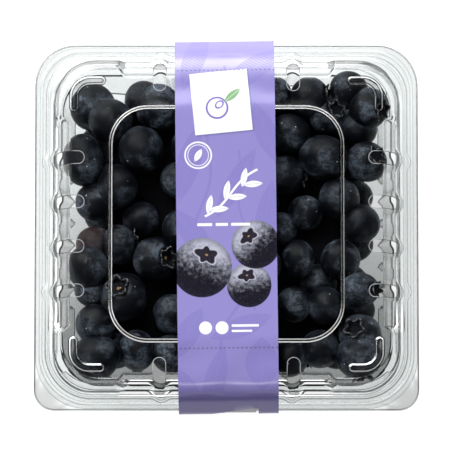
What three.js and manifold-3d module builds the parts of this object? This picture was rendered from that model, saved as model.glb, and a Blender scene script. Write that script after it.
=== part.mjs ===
// A shut clear clamshell punnet of blueberries in a paper band.
// Millimetres. X runs across the pack, Y from the front to the hinge, Z up from the feet.
import * as THREE from "three";
import Module from "manifold-3d";

const wasm = await Module();
wasm.setup();

// Pack
const PACK = { width: 115, depth: 110 };
const SHEET = 0.5;
const RIM_TOP = 25;
const RIM_GAP = 0.3;
const LID_EDGE = 34.2;
const LID_TOP = 34.7;
const PANEL_TOP = 35.5;
const CORNER = 12;
const TAB_CORNER = 6;
const SIDE_STRAIGHT = 33;
const INDENT = { depth: 2.5, from: 30, to: 32.2 };
const FLUTE = { depth: 1.9, pitch: 6.65, half: 1.1, foot: 3.2, rows: [-3, -2, -1, 0, 1, 2, 3] };
const FOOT_HEIGHT = 1.4;
const HINGE = { half: 46, reach: 0.3 };
// Vents
const VENT = { width: 3.6, length: 8.8, pitch: 13.3, inset: 6.9 };
// Corner ribs
const RIB = { width: 2, height: 0.7, radius: 4.8, leg: 4.4, inset: 12 };
// Band
const BAND = { width: 29.5, sheet: 0.4, turn: 0.7 };
// Fruit
const GAP = 0.35;
const BERRY_SEED = 7;
const TOP_LAYER = { top: LID_EDGE - SHEET - GAP + 0.25, underPanel: 1, panelHalf: 31 };
const UNDER_BAND = { halfX: 15.5, halfY: 42, tries: 900 };
const LOWER_LAYERS = [{ z: 17.5, inset: 18.5 }, { z: 8.9, inset: 20.5 }];
const BERRY_RADIUS = { min: 5.2, max: 6.7 };
const CORE = { inset: 19.5, low: 2.4, high: 24.5 };
// Each ball's steps round and down.
const TOP_BALL = [8, 5];
const LOWER_BALL = [6, 4];

// The berries that show through the lid: across, back, radius and how deep they sit.
const TOP_BERRIES = [
  [-40.3, 36.5, 7, 4], [-34.9, 32, 6.7, 0], [-25.1, 38.2, 6.3, 3.5],
  [-20.5, 35.9, 7.2, 0.5], [-25.6, 22.9, 6.9, 0], [-43.2, 20.1, 6.4, 1],
  [-33, 11.9, 6.7, 0.5], [-39.5, 7.6, 6, 3.5], [-25.7, 2.3, 5.7, 6], [-14.5, 14, 5.5, 2.5],
  [-40.1, -5, 5.2, 4.5], [-32.2, -5.5, 5.8, 1], [-21.4, -9.9, 6.6, 1],
  [-41.7, -12.5, 6.4, 0.5], [-30.8, -21.2, 7.2, 0], [-16.3, -26.4, 6, 1.5],
  [-40.4, -19.2, 5.1, 4.5], [-39.4, -29.3, 6.1, 2], [-39.1, -39.4, 6.8, 0],
  [-26.8, -37.2, 6, 1.5], [-16.6, -38.2, 5.7, 2.5], [14, 39.9, 5.7, 3],
  [25, 38.9, 6.1, 0], [36.8, 41.5, 5.7, 3], [42.8, 35.6, 6, 0], [30.4, 33.6, 5.8, 1.5],
  [18.7, 27.8, 6.1, 1.5], [39.5, 29.9, 5.7, 4], [29.2, 20.6, 6.7, 0], [42.2, 19.5, 6, 0.5],
  [17.5, 15.6, 6, 2.5], [33.9, 8.4, 6.3, 0.5], [23.6, 4.3, 5.1, 5], [40.3, 0.9, 5.8, 1.5],
  [16.1, -0.5, 5.1, 6], [21.4, -9.8, 5.3, 2.5], [34.3, -9.9, 6.1, 2], [40, -19.1, 5.4, 1],
  [20.2, -23.5, 5.4, 2.5], [29.7, -23.9, 5.5, 2], [40.1, -32.5, 6.1, 2.5],
  [40.3, -40.4, 7, 0], [27.9, -36.8, 5.7, 1.5], [18.9, -39.8, 5.4, 3],
];

// The corners go anticlockwise from the back right one.
const CORNER_SIGNS = [[1, 1], [-1, 1], [-1, -1], [1, -1]];

/** A repeatable draw between 0 and 1. */
function makeRandom(seed) {
  let state = seed;
  return () => {
    state = (state * 1664525 + 1013904223) % 4294967296;
    return state / 4294967296;
  };
}

/** Turns a three.js geometry into a solid that can be joined and cut. */
function toSolid(geometry) {
  const position = geometry.getAttribute("position");
  const seen = new Map();
  const points = [];
  const remap = [];
  for (let i = 0; i < position.count; i += 1) {
    const p = [position.getX(i), position.getY(i), position.getZ(i)];
    const key = p.map((v) => Math.round(v * 1e4)).join(",");
    if (!seen.has(key)) {
      seen.set(key, points.length / 3);
      points.push(...p);
    }
    remap.push(seen.get(key));
  }
  const index = geometry.index ? Array.from(geometry.index.array) : remap.map((_, i) => i);
  const faces = [];
  for (let i = 0; i < index.length; i += 3) {
    const [a, b, c] = [remap[index[i]], remap[index[i + 1]], remap[index[i + 2]]];
    if (a !== b && b !== c && c !== a) faces.push(a, b, c);
  }
  return new wasm.Manifold(new wasm.Mesh({
    numProp: 3,
    vertProperties: new Float32Array(points),
    triVerts: new Uint32Array(faces),
  }));
}

/** Turns a joined solid back into a three.js geometry. */
function toGeometry(solid) {
  const mesh = solid.getMesh();
  const geometry = new THREE.BufferGeometry();
  geometry.setAttribute("position", new THREE.Float32BufferAttribute(mesh.vertProperties, 3));
  geometry.setIndex(Array.from(mesh.triVerts));
  geometry.computeVertexNormals();
  return geometry;
}

/** 1 along the middle of a side, 0 near the corners. */
function sideShare(along) {
  const t = (INDENT.to - Math.abs(along)) / (INDENT.to - INDENT.from);
  return THREE.MathUtils.clamp(t, 0, 1);
}

/** 1 on a flute's crest, 0 between flutes. */
function fluteShare(along) {
  const nearest = Math.min(...FLUTE.rows.map((row) => Math.abs(along - row * FLUTE.pitch)));
  const t = (FLUTE.foot - nearest) / (FLUTE.foot - FLUTE.half);
  return THREE.MathUtils.clamp(t, 0, 1);
}

/** The places along a side where its outline has a point. */
function sidePlaces(fluted) {
  const places = [-INDENT.to, -INDENT.from, INDENT.from, INDENT.to];
  if (fluted) {
    const centres = FLUTE.rows.map((row) => row * FLUTE.pitch);
    places.push(...centres.flatMap((centre) => [centre - FLUTE.half, centre + FLUTE.half]));
    places.push(...centres.map((centre) => centre - FLUTE.pitch / 2));
    places.push(centres.at(-1) + FLUTE.pitch / 2);
  }
  return places.sort((a, b) => a - b);
}

/**
 * One closed ring of the pack's outline.
 * The station gives its inset from the flange, height, corner radii and how much
 * of the sides' indent, flutes and lift it has.
 */
function ring(station, places, arcSteps) {
  const { inset, wide = 0, z, back, front = back } = station;
  const { indent = 0, flute = 0, lift = 0 } = station;
  const halfX = PACK.width / 2 - inset - wide;
  const halfY = PACK.depth / 2 - inset;
  const points = [];
  for (let corner = 0; corner < 4; corner += 1) {
    const [sx, sy] = CORNER_SIGNS[corner];
    const radius = Math.max(sy > 0 ? back : front, 0.6);
    for (let k = 0; k <= arcSteps; k += 1) {
      const angle = (corner + k / arcSteps) * Math.PI / 2;
      const x = sx * (halfX - radius) + radius * Math.cos(angle);
      const y = sy * (halfY - radius) + radius * Math.sin(angle);
      points.push(new THREE.Vector3(x, y, z));
    }
    const alongX = corner % 2 === 0;
    const half = alongX ? halfX : halfY;
    const straight = Math.min(half - Math.max(radius, front, back) - 0.4, SIDE_STRAIGHT);
    const fit = straight / SIDE_STRAIGHT;
    for (const place of places) {
      const side = sideShare(place);
      const inward = indent * INDENT.depth * side - flute * FLUTE.depth * fluteShare(place);
      const height = z + lift * FOOT_HEIGHT * side;
      const reach = (alongX ? halfY : halfX) - inward;
      const s = place * fit;
      points.push([
        new THREE.Vector3(-s, reach, height),
        new THREE.Vector3(-reach, -s, height),
        new THREE.Vector3(s, -reach, height),
        new THREE.Vector3(reach, s, height),
      ][corner]);
    }
  }
  return points;
}

/** A solid through rings of equal count, closed by a flat fan at both ends. */
function loft(rings) {
  const count = rings[0].length;
  const points = rings.flat();
  const faces = [];
  for (let r = 0; r + 1 < rings.length; r += 1) {
    for (let i = 0; i < count; i += 1) {
      const j = (i + 1) % count;
      const [a, b] = [r * count + i, r * count + j];
      const [c, d] = [a + count, b + count];
      faces.push(a, b, d, a, d, c);
    }
  }
  const ends = [[0, true], [(rings.length - 1) * count, false]];
  for (const [start, first] of ends) {
    const centre = new THREE.Vector3(0, 0, points[start].z);
    const hub = points.push(centre) - 1;
    for (let i = 0; i < count; i += 1) {
      const [a, b] = [start + i, start + (i + 1) % count];
      faces.push(...(first ? [hub, b, a] : [hub, a, b]));
    }
  }
  const geometry = new THREE.BufferGeometry();
  geometry.setAttribute("position", new THREE.Float32BufferAttribute(
    points.flatMap((p) => [p.x, p.y, p.z]), 3));
  geometry.setIndex(faces);
  return geometry;
}

/** The second skin of a sheet: each station moved square to the profile. */
function offsetStations(stations, distance) {
  return stations.map((station, i) => {
    const before = stations[Math.max(i - 1, 0)];
    const after = stations[Math.min(i + 1, stations.length - 1)];
    const normals = [[before, station], [station, after]]
      .map(([p, q]) => new THREE.Vector2(p.z - q.z, q.inset - p.inset))
      .filter((n) => n.length() > 1e-6)
      .map((n) => n.normalize());
    const mean = normals.reduce((sum, n) => sum.add(n), new THREE.Vector2()).normalize();
    const stretch = Math.min(1 / mean.dot(normals[0]), 1.6);
    const shift = mean.multiplyScalar(distance * stretch);
    const front = station.front ?? station.back;
    return {
      ...station,
      inset: station.inset + shift.x,
      z: station.z + shift.y,
      back: station.back - shift.x,
      front: front - shift.x,
    };
  });
}

/** A formed sheet whose upper skin passes through the stations, from the edge inwards. */
function formedSheet(stations, places, arcSteps) {
  const upper = stations.map((s) => ring(s, places, arcSteps));
  const lower = offsetStations(stations, -SHEET).map((s) => ring(s, places, arcSteps));
  return toSolid(loft([...lower.reverse(), ...upper]));
}

function makeTray() {
  const stations = [
    { inset: 0, z: RIM_TOP, back: CORNER, front: TAB_CORNER },
    { inset: 5.7, z: RIM_TOP, back: 11, front: 11 },
    { inset: 6.4, z: RIM_TOP - 1, back: 11, flute: 0.3 },
    { inset: 10.9, z: 4, back: 11, flute: 1 },
    { inset: 12.4, z: SHEET, back: 11, lift: 1 },
    { inset: 16.5, z: SHEET, back: 9, lift: 1 },
    { inset: 18, z: SHEET + FOOT_HEIGHT, back: 8 },
  ];
  return formedSheet(stations, sidePlaces(true), 4);
}

function makeLid() {
  const rim = RIM_TOP + RIM_GAP + SHEET;
  const stations = [
    { inset: 0.4, z: rim, back: CORNER, front: 15 },
    { inset: 3.4, z: rim, back: 12, front: 14 },
    { inset: 4.1, z: rim + 1.5, back: 12, front: 13.5 },
    { inset: 5.5, z: rim + 1.6, back: 12, front: 13 },
    { inset: 5.9, z: rim + 2.1, back: 12.4, indent: 0.3 },
    { inset: 7.1, z: LID_EDGE - 1.1, back: 12, indent: 0.9 },
    { inset: 7.9, z: LID_EDGE, back: 12, indent: 1 },
    { inset: 19.8, wide: 2.9, z: LID_TOP, back: 11.4 },
    { inset: 20.6, wide: 2.9, z: PANEL_TOP, back: 10.8 },
  ];
  return formedSheet(stations, sidePlaces(false), 5);
}

/** An upright prism of a flat shape. */
function prism(shape, height, curveSegments) {
  return new THREE.ExtrudeGeometry(shape, {
    depth: height, bevelEnabled: false, curveSegments,
  });
}

/** The vents: slots that run from the foot of the lid's wall on to its top. */
function ventCuts() {
  const half = VENT.length / 2 - VENT.width / 2;
  const radius = VENT.width / 2;
  const shape = new THREE.Shape();
  shape.absarc(half, 0, radius, -Math.PI / 2, Math.PI / 2, false);
  shape.absarc(-half, 0, radius, Math.PI / 2, Math.PI * 1.5, false);
  const slot = prism(shape, 20, 4);
  const cuts = [];
  for (let side = 0; side < 4; side += 1) {
    const reach = (side % 2 === 0 ? PACK.width : PACK.depth) / 2 - VENT.inset - VENT.length / 2;
    for (const row of [-1.5, -0.5, 0.5, 1.5]) {
      const cut = slot.clone();
      cut.translate(reach, row * VENT.pitch, RIM_TOP + RIM_GAP + SHEET + 1.9);
      cut.rotateZ(side * Math.PI / 2);
      cuts.push(toSolid(cut));
    }
  }
  return wasm.Manifold.union(cuts);
}

/** The L-shaped ribs that stiffen the lid's corners. */
function cornerRibs() {
  const outer = RIB.radius + RIB.width / 2;
  const inner = RIB.radius - RIB.width / 2;
  const shape = new THREE.Shape();
  shape.moveTo(outer, -RIB.leg);
  shape.absarc(0, 0, outer, 0, Math.PI / 2, false);
  shape.lineTo(-RIB.leg, outer);
  shape.lineTo(-RIB.leg, inner);
  shape.absarc(0, 0, inner, Math.PI / 2, 0, true);
  shape.lineTo(inner, -RIB.leg);
  const rib = prism(shape, RIB.height + SHEET / 2, 5);
  return CORNER_SIGNS.map(([sx, sy], corner) => {
    const placed = rib.clone();
    placed.rotateZ(corner * Math.PI / 2);
    const x = sx * (PACK.width / 2 - RIB.inset - RIB.radius);
    const y = sy * (PACK.depth / 2 - RIB.inset - RIB.radius);
    placed.translate(x, y, LID_EDGE - SHEET / 2);
    return toSolid(placed);
  });
}

/** The fold that holds lid and tray together along the back. */
function hingeFold() {
  const y = PACK.depth / 2;
  const low = RIM_TOP - SHEET;
  const high = RIM_TOP + RIM_GAP + SHEET;
  const shape = new THREE.Shape([
    new THREE.Vector2(y - 0.8, low),
    new THREE.Vector2(y + HINGE.reach / 2, low),
    new THREE.Vector2(y + HINGE.reach, low + 0.35),
    new THREE.Vector2(y + HINGE.reach, high - 0.35),
    new THREE.Vector2(y + HINGE.reach / 2, high),
    new THREE.Vector2(y - 0.8, high),
  ]);
  const fold = prism(shape, HINGE.half * 2, 1);
  fold.rotateX(Math.PI / 2);
  fold.rotateZ(Math.PI / 2);
  fold.translate(-HINGE.half, 0, 0);
  return toSolid(fold);
}

function makeClamshell() {
  const lid = makeLid().subtract(ventCuts());
  return wasm.Manifold.union([makeTray(), lid, hingeFold(), ...cornerRibs()]);
}

/** The paper band: a loop round the pack, folded over the lid's edges and the flange. */
function makeBand() {
  const half = [
    [34.4, PANEL_TOP + 0.35],
    [44, LID_EDGE + 0.6],
    [46, LID_EDGE + 0.1],
    [47, LID_EDGE - 0.8],
    [55.4, 26.8],
    [55.7, 25.4],
    [55.2, 24.2],
    [47, 1.6],
    [45.6, 1.0],
  ];
  const inner = [
    ...half.map(([y, z]) => new THREE.Vector2(y, z)),
    ...half.toReversed().map(([y, z]) => new THREE.Vector2(-y, z)),
  ];
  const outer = inner.map((p, i) => {
    const before = inner[(i + inner.length - 1) % inner.length];
    const after = inner[(i + 1) % inner.length];
    const edges = [p.clone().sub(before).normalize(), after.clone().sub(p).normalize()];
    const normals = edges.map((e) => new THREE.Vector2(-e.y, e.x));
    const mean = normals[0].clone().add(normals[1]).normalize();
    return p.clone().addScaledVector(mean, BAND.sheet / mean.dot(normals[0]));
  });
  const shape = new THREE.Shape(outer.toReversed());
  shape.holes.push(new THREE.Path(inner));
  const geometry = prism(shape, BAND.width, 1);
  geometry.translate(0, 0, -BAND.width / 2);
  geometry.rotateX(Math.PI / 2);
  geometry.rotateZ(Math.PI / 2);
  geometry.rotateZ(THREE.MathUtils.degToRad(BAND.turn));
  return geometry;
}

// The inner faces of the walls, as height and inset from the flange.
const WALL = [[0, 13], [1.9, 12.4], [4, 10.9], [24, 6.4], [27.4, 7.3], [32.9, 10], [34.2, 11.4]];

function wallInset(z) {
  const i = Math.max(WALL.findIndex(([height]) => height > z), 1);
  const [low, high] = [WALL[i - 1], WALL[i]];
  return THREE.MathUtils.mapLinear(z, low[0], high[0], low[1], high[1]);
}

/** How far a berry stands into the wall, and which way is inwards. */
function wallBite(berry) {
  let worst = { bite: -Infinity };
  for (let step = -4; step <= 4; step += 1) {
    const dz = berry.r * step / 4.2;
    const reach = Math.sqrt(berry.r ** 2 - dz ** 2);
    const inset = wallInset(berry.z + dz);
    const qx = Math.abs(berry.x) - (PACK.width / 2 - inset - CORNER);
    const qy = Math.abs(berry.y) - (PACK.depth / 2 - inset - CORNER);
    const away = new THREE.Vector2(Math.max(qx, 0), Math.max(qy, 0));
    const bite = away.length() - CORNER + reach + GAP;
    if (bite > worst.bite) {
      away.normalize().multiply(new THREE.Vector2(Math.sign(berry.x), Math.sign(berry.y)));
      worst = { bite, away };
    }
  }
  return worst;
}

/** Moves a berry inwards until it clears the walls. */
function seat(berry) {
  for (let turn = 0; turn < 12; turn += 1) {
    const { bite, away } = wallBite(berry);
    if (bite <= 0) break;
    berry.x -= away.x * bite;
    berry.y -= away.y * bite;
  }
  return berry;
}

function topBerry([x, y, r, sink]) {
  const inPanel = Math.max(Math.abs(x), Math.abs(y)) < TOP_LAYER.panelHalf;
  const top = TOP_LAYER.top + (inPanel ? TOP_LAYER.underPanel : 0);
  return seat({ x, y, z: top - r - sink, r });
}

/** Berries thrown into a space one by one, each kept if it is clear of the rest. */
function scatter(random, tries, place, kept) {
  const added = [];
  for (let i = 0; i < tries; i += 1) {
    const r = THREE.MathUtils.lerp(BERRY_RADIUS.min, BERRY_RADIUS.max, random());
    const berry = seat(place(random, r));
    const near = [...kept, ...added].some((other) => {
      const gap = Math.hypot(other.x - berry.x, other.y - berry.y, other.z - berry.z);
      return gap < 0.9 * (other.r + berry.r);
    });
    if (!near) added.push(berry);
  }
  return added;
}

function allBerries() {
  const random = makeRandom(BERRY_SEED);
  const top = TOP_BERRIES.map(topBerry);
  top.push(...scatter(random, UNDER_BAND.tries, (draw, r) => {
    const x = UNDER_BAND.halfX * (2 * draw() - 1);
    const y = UNDER_BAND.halfY * (2 * draw() - 1);
    return topBerry([x, y, r, 2 * draw()]);
  }, top));
  const berries = [...top];
  for (const layer of LOWER_LAYERS) {
    const halfX = PACK.width / 2 - layer.inset;
    const halfY = PACK.depth / 2 - layer.inset;
    berries.push(...scatter(random, 1500, (draw, r) => {
      const x = (2 * draw() - 1) * halfX;
      const y = (2 * draw() - 1) * halfY;
      const onSide = draw() < 0.5;
      return {
        x: onSide ? Math.sign(x) * halfX : x,
        y: onSide ? y : Math.sign(y) * halfY,
        z: layer.z,
        r,
      };
    }, berries));
  }
  return berries;
}

/** The heap: a core with the berries that show fused on. */
function makeHeap() {
  const core = [
    { inset: CORE.inset + 2, z: CORE.low, back: 8 },
    { inset: CORE.inset, z: CORE.low + 3, back: 9 },
    { inset: CORE.inset, z: CORE.high - 2, back: 9 },
    { inset: CORE.inset + 3, z: CORE.high, back: 8 },
  ].map((station) => ring(station, [-SIDE_STRAIGHT, SIDE_STRAIGHT], 2));
  const solids = [toSolid(loft(core))];
  for (const { x, y, z, r } of allBerries()) {
    const steps = z > CORE.high - 4 ? TOP_BALL : LOWER_BALL;
    const berry = new THREE.SphereGeometry(r, ...steps);
    berry.rotateX(Math.PI / 2);
    berry.rotateZ(x);
    berry.translate(x, y, z);
    solids.push(toSolid(berry));
  }
  return wasm.Manifold.union(solids);
}

const clamshell = toGeometry(makeClamshell());
const part = new THREE.Group();
part.name = "blueberry_punnet";

function addMesh(name, geometry, color, roughness) {
  const material = new THREE.MeshStandardMaterial({ color, roughness, metalness: 0 });
  const mesh = new THREE.Mesh(geometry, material);
  mesh.name = name;
  part.add(mesh);
}

addMesh("clamshell", clamshell, 0xe8ecec, 0.15);
addMesh("berries", toGeometry(makeHeap()), 0x2a303c, 0.5);
addMesh("band", makeBand(), 0x9b93d0, 0.6);

export default part;
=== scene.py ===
# %% [markdown]
# # A punnet of blueberries
#
# The real object is one sheet of clear plastic, formed into a tray and a lid with a fold
# between them, filled with loose fruit and held shut by a loop of printed paper. The frame
# gives their sizes as three solids. This file dresses them: a thin formed sheet with round
# bends, berries one by one with bloom and crowns, and a paper band with folds and print.
# Everything is in metres inside Blender, so `MM` turns the maker's millimetres into metres.

# %% Load the frame
import math
import random

import bmesh
import bpy
from mathutils import Matrix, Vector


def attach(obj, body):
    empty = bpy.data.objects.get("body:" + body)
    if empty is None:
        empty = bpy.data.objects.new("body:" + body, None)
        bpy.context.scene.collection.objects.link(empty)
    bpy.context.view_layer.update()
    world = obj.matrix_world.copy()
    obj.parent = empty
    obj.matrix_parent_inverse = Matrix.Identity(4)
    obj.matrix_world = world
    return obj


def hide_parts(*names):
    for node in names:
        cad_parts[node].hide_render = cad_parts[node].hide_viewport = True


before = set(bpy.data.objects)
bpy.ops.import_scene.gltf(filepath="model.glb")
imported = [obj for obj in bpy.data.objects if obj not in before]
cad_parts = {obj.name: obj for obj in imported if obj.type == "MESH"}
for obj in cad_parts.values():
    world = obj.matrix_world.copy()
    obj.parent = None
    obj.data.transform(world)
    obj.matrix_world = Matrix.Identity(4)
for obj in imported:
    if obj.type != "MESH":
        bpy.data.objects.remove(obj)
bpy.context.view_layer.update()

MM = 0.001

# %% [markdown]
# ## Working by hand
#
# Every piece is made with the same few moves: start a primitive, go into edit mode, select
# by place, and come back out. An operator acts on all that is selected, so the helpers
# start by deselecting everything. A finished piece keeps its place in its mesh, with its
# object at the origin, as the frame's own nodes do.

# %% Helpers for modelling
def start(name, primitive, **settings):
    """Adds a primitive with nothing else selected and returns its object."""
    if bpy.context.object and bpy.context.object.mode != "OBJECT":
        bpy.ops.object.mode_set(mode="OBJECT")
    bpy.ops.object.select_all(action="DESELECT")
    primitive(**settings)
    piece = bpy.context.object
    piece.name = piece.data.name = name
    return piece


def only(*pieces):
    """Selects these objects alone, the first one active."""
    bpy.ops.object.select_all(action="DESELECT")
    for piece in pieces:
        piece.select_set(True)
    bpy.context.view_layer.objects.active = pieces[0]


def edit(piece):
    """Goes into edit mode on this piece and returns its editable mesh."""
    only(piece)
    bpy.ops.object.mode_set(mode="EDIT")
    return bmesh.from_edit_mesh(piece.data)


def pick(piece, kind, test):
    """In edit mode, selects the vertices, edges or faces that pass the test."""
    bpy.ops.mesh.select_mode(type={"verts": "VERT", "edges": "EDGE", "faces": "FACE"}[kind])
    bpy.ops.mesh.select_all(action="DESELECT")
    mesh = bmesh.from_edit_mesh(piece.data)
    for element in getattr(mesh, kind):
        if test(element):
            element.select_set(True)
    mesh.select_flush_mode()
    bmesh.update_edit_mesh(piece.data)


def leave():
    bpy.ops.object.mode_set(mode="OBJECT")


def settle(piece):
    """Moves the object's own place, turn and size into its mesh."""
    only(piece)
    bpy.ops.object.transform_apply(location=True, rotation=True, scale=True)


def modify(piece, kind, **settings):
    """Adds a modifier with these settings and applies it."""
    only(piece)
    modifier = piece.modifiers.new(kind.title(), kind)
    for key, value in settings.items():
        setattr(modifier, key, value)
    bpy.ops.object.modifier_apply(modifier=modifier.name)


def triangles(piece):
    return sum(len(face.vertices) - 2 for face in piece.data.polygons)


# %% [markdown]
# ## Camera, floor and light
#
# The pack lies flat and is seen from almost straight above, with the front edge a little
# nearer. A long lens keeps the sides parallel. The floor is a light table. One small soft
# box behind and to the left shapes the berries, and the room further down does the rest.

# %% Camera
SCENE = bpy.context.scene
VIEW = {"elevation": 84, "distance": 1.2, "frame_width": 135.9 * MM}
AIM = Vector((0, 0.1 * MM, 25.4 * MM))

tilt = math.radians(VIEW["elevation"])
bpy.ops.object.camera_add()
camera = bpy.context.object
camera.name = "camera"
camera.location = AIM + VIEW["distance"] * Vector((0, -math.cos(tilt), math.sin(tilt)))
camera.rotation_euler = (math.pi / 2 - tilt, 0, 0)
camera.data.lens = camera.data.sensor_width * VIEW["distance"] / VIEW["frame_width"]
camera.data.clip_start = 0.01
SCENE.camera = camera
print("lens in mm:", round(camera.data.lens))

# %% Floor and lights
floor = start("floor", bpy.ops.mesh.primitive_plane_add, size=6)

SOFTBOX = {"place": (-0.5, 1.0, 0.9), "size": 0.45, "power": 2}
bpy.ops.object.light_add(type="AREA", location=SOFTBOX["place"])
lamp = bpy.context.object
lamp.name = "key_softbox"
lamp.data.size = SOFTBOX["size"]
lamp.data.energy = SOFTBOX["power"]
lamp.rotation_euler = (AIM - lamp.location).to_track_quat("-Z", "Y").to_euler()

SCENE.view_settings.view_transform = "Standard"
SCENE.cycles.max_bounces = 24
SCENE.cycles.transmission_bounces = 16
SCENE.cycles.transparent_max_bounces = 24

# %% [markdown]
# ## Reckoning with sockets
#
# A finish is mostly arithmetic: where a mask is, how strong it is, what it tints. Drawing
# that node by node is hard to read, so a small class wraps a socket and lets Python's own
# operators add the Math nodes. Any other node comes from its one method, `add`.

# %% A socket that can be added and multiplied
class Wire:
    """A node's output. a + b, 1 - a and the like add Math nodes."""

    def __init__(self, socket):
        self.socket = socket
        self.tree = socket.id_data

    def add(self, kind, inputs=None, out=0, **settings):
        return add_node(self.tree, kind, inputs, out, **settings)

    def math(self, operation, *values):
        return self.add("ShaderNodeMath", dict(enumerate(values)), operation=operation)

    def __add__(self, other):
        return self.math("ADD", self, other)

    def __sub__(self, other):
        return self.math("SUBTRACT", self, other)

    def __rsub__(self, other):
        return self.math("SUBTRACT", other, self)

    def __mul__(self, other):
        return self.math("MULTIPLY", self, other)

    def __truediv__(self, other):
        return self.math("DIVIDE", self, other)

    def __rtruediv__(self, other):
        return self.math("DIVIDE", other, self)

    def __pow__(self, other):
        return self.math("POWER", self, other)

    __radd__ = __add__
    __rmul__ = __mul__

    def ramp(self, low, high, start=0.0, end=1.0):
        """Goes smoothly from start at low to end at high."""
        return self.add(
            "ShaderNodeMapRange", {0: self, 1: low, 2: high, 3: start, 4: end},
            interpolation_type="SMOOTHSTEP",
        )

    def noise(self, scale, detail=2.0, roughness=0.5):
        """Soft clouds of this fineness, looked up at a place."""
        return self.add("ShaderNodeTexNoise", {
            "Vector": self, "Scale": scale, "Detail": detail, "Roughness": roughness,
        })

    def bump(self, strength, distance):
        """Takes a value as a height and gives the skin's slope."""
        return self.add("ShaderNodeBump", {"Height": self, "Strength": strength,
                                           "Distance": distance})


def add_node(tree, kind, inputs=None, out=0, **settings):
    """Adds one node: its settings first, then its sockets."""
    node = tree.nodes.new(kind)
    for key, value in settings.items():
        setattr(node, key, value)
    for key, value in (inputs or {}).items():
        if isinstance(value, Wire):
            tree.links.new(value.socket, node.inputs[key])
        else:
            node.inputs[key].default_value = value
    return Wire(node.outputs[out])


def new_finish(name):
    """An empty material, with its tree and its object coordinates."""
    material = bpy.data.materials.new(name)
    material.use_nodes = True
    tree = material.node_tree
    tree.nodes.clear()
    place = add_node(tree, "ShaderNodeTexCoord", out="Object")
    return material, tree, place


def show(tree, surface):
    """Joins the finished shader to the material's output."""
    output = tree.nodes.new("ShaderNodeOutputMaterial")
    tree.links.new(surface.socket, output.inputs["Surface"])


def paint(tree, colour, roughness, more=None):
    """Ends a finish as one solid skin of this colour and roughness."""
    sockets = {"Base Color": colour, "Roughness": roughness, **(more or {})}
    show(tree, add_node(tree, "ShaderNodeBsdfPrincipled", sockets))


def stored(tree, *names):
    """The numbers that each point carries under these names."""
    return [add_node(tree, "ShaderNodeAttribute", out="Fac", attribute_name=name)
            for name in names]


def mix_colour(factor, a, b, blend="MIX"):
    """Two colours mixed by a wire; each is a wire or three numbers."""
    a, b = [c if isinstance(c, Wire) else (*c, 1) for c in (a, b)]
    return factor.add(
        "ShaderNodeMix", {0: factor, 6: a, 7: b}, out=2, data_type="RGBA", blend_type=blend,
    )


# %% [markdown]
# ## The room around the pack
#
# Clear plastic shows only what it mirrors and bends, so the room matters more than the
# lamps. The main light is a large soft patch, low behind the pack and a little to the
# left: slopes that face it are bright and those that face the front fall dark, which
# gives the band its pale and deep folds and each berry its shaded side. A small patch
# ahead puts the highlight on the front fold. Overhead the room is dim, and it is black
# where a level panel mirrors the lens, so that the panel stays free of haze. Low down a
# narrow, bright strip runs all round, strongest behind: each ridge and rib leans at 39
# degrees, so it mirrors the strip into the lens as a crisp line.

# %% The dome
LENS_TILT = 90 - VIEW["elevation"]
WINDOW = {"towards": (-0.4, 0.9, 0.9), "core": 15, "edge": 40, "light": 6.9}
AHEAD = {"towards": (0, -0.45, 0.9), "core": 3, "edge": 7, "light": 6}
ROOM = {"overhead": 0.1, "low": 0.04}
LENS_HOLE = {"dark": 12, "edge": 17}
STRIP = {"from_lens": 78, "half": 5, "soft": 1.5, "behind": 4.5, "ahead": 0.9}
world = bpy.data.worlds.new("studio")
SCENE.world = world
world.use_nodes = True
tree = world.node_tree
tree.nodes.clear()
ray = add_node(tree, "ShaderNodeTexCoord", out="Generated")


def towards(direction):
    """How closely each ray looks in this direction, from -1 to 1."""
    return ray.add("ShaderNodeVectorMath", {0: ray, 1: Vector(direction).normalized()},
                   out="Value", operation="DOT_PRODUCT")


def cos_of(degrees):
    return math.cos(math.radians(degrees))


def sin_of(degrees):
    return math.sin(math.radians(degrees))


def patch_of_light(spec):
    """The patch's light at its core, fading to none at its edge."""
    share = towards(spec["towards"]).ramp(cos_of(spec["edge"]), cos_of(spec["core"]))
    return share * spec["light"]


room = towards((0, 0.3, 1)).ramp(-0.1, 1.0, ROOM["low"], ROOM["overhead"])
mirrored_lens = towards((0, sin_of(LENS_TILT), cos_of(LENS_TILT)))
lens_hole = mirrored_lens.ramp(cos_of(LENS_HOLE["edge"]), cos_of(LENS_HOLE["dark"]), 1.0, 0.0)
near, far = STRIP["from_lens"] - STRIP["half"], STRIP["from_lens"] + STRIP["half"]
strip = mirrored_lens.ramp(cos_of(far + STRIP["soft"]), cos_of(far))
strip = strip * mirrored_lens.ramp(cos_of(near), cos_of(near - STRIP["soft"]), 1.0, 0.0)
strip = strip * towards((-0.25, 0.97, 0)).ramp(-0.5, 1.0, STRIP["ahead"], STRIP["behind"])
glow = lens_hole * (room + patch_of_light(WINDOW)) + strip + patch_of_light(AHEAD)
show_world = tree.nodes.new("ShaderNodeOutputWorld")
background = glow.add("ShaderNodeBackground", {"Color": (1, 1, 1, 1), "Strength": glow})
tree.links.new(background.socket, show_world.inputs["Surface"])

# %% [markdown]
# ## Finish of the floor
#
# A light table: a pale diffuser lit from below, so that hardly a shadow is left on it. A
# trace of uneven tone keeps it from reading as a void.

# %% Light table
paper_white, tree, place = new_finish("light_table")
tone = mix_colour(place.noise(3.0), (0.29, 0.29, 0.29), (0.31, 0.31, 0.31))
paint(tree, tone, 0.9, {"Emission Color": (1, 1, 1, 1), "Emission Strength": 0.92})
floor.data.materials.append(paper_white)

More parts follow.
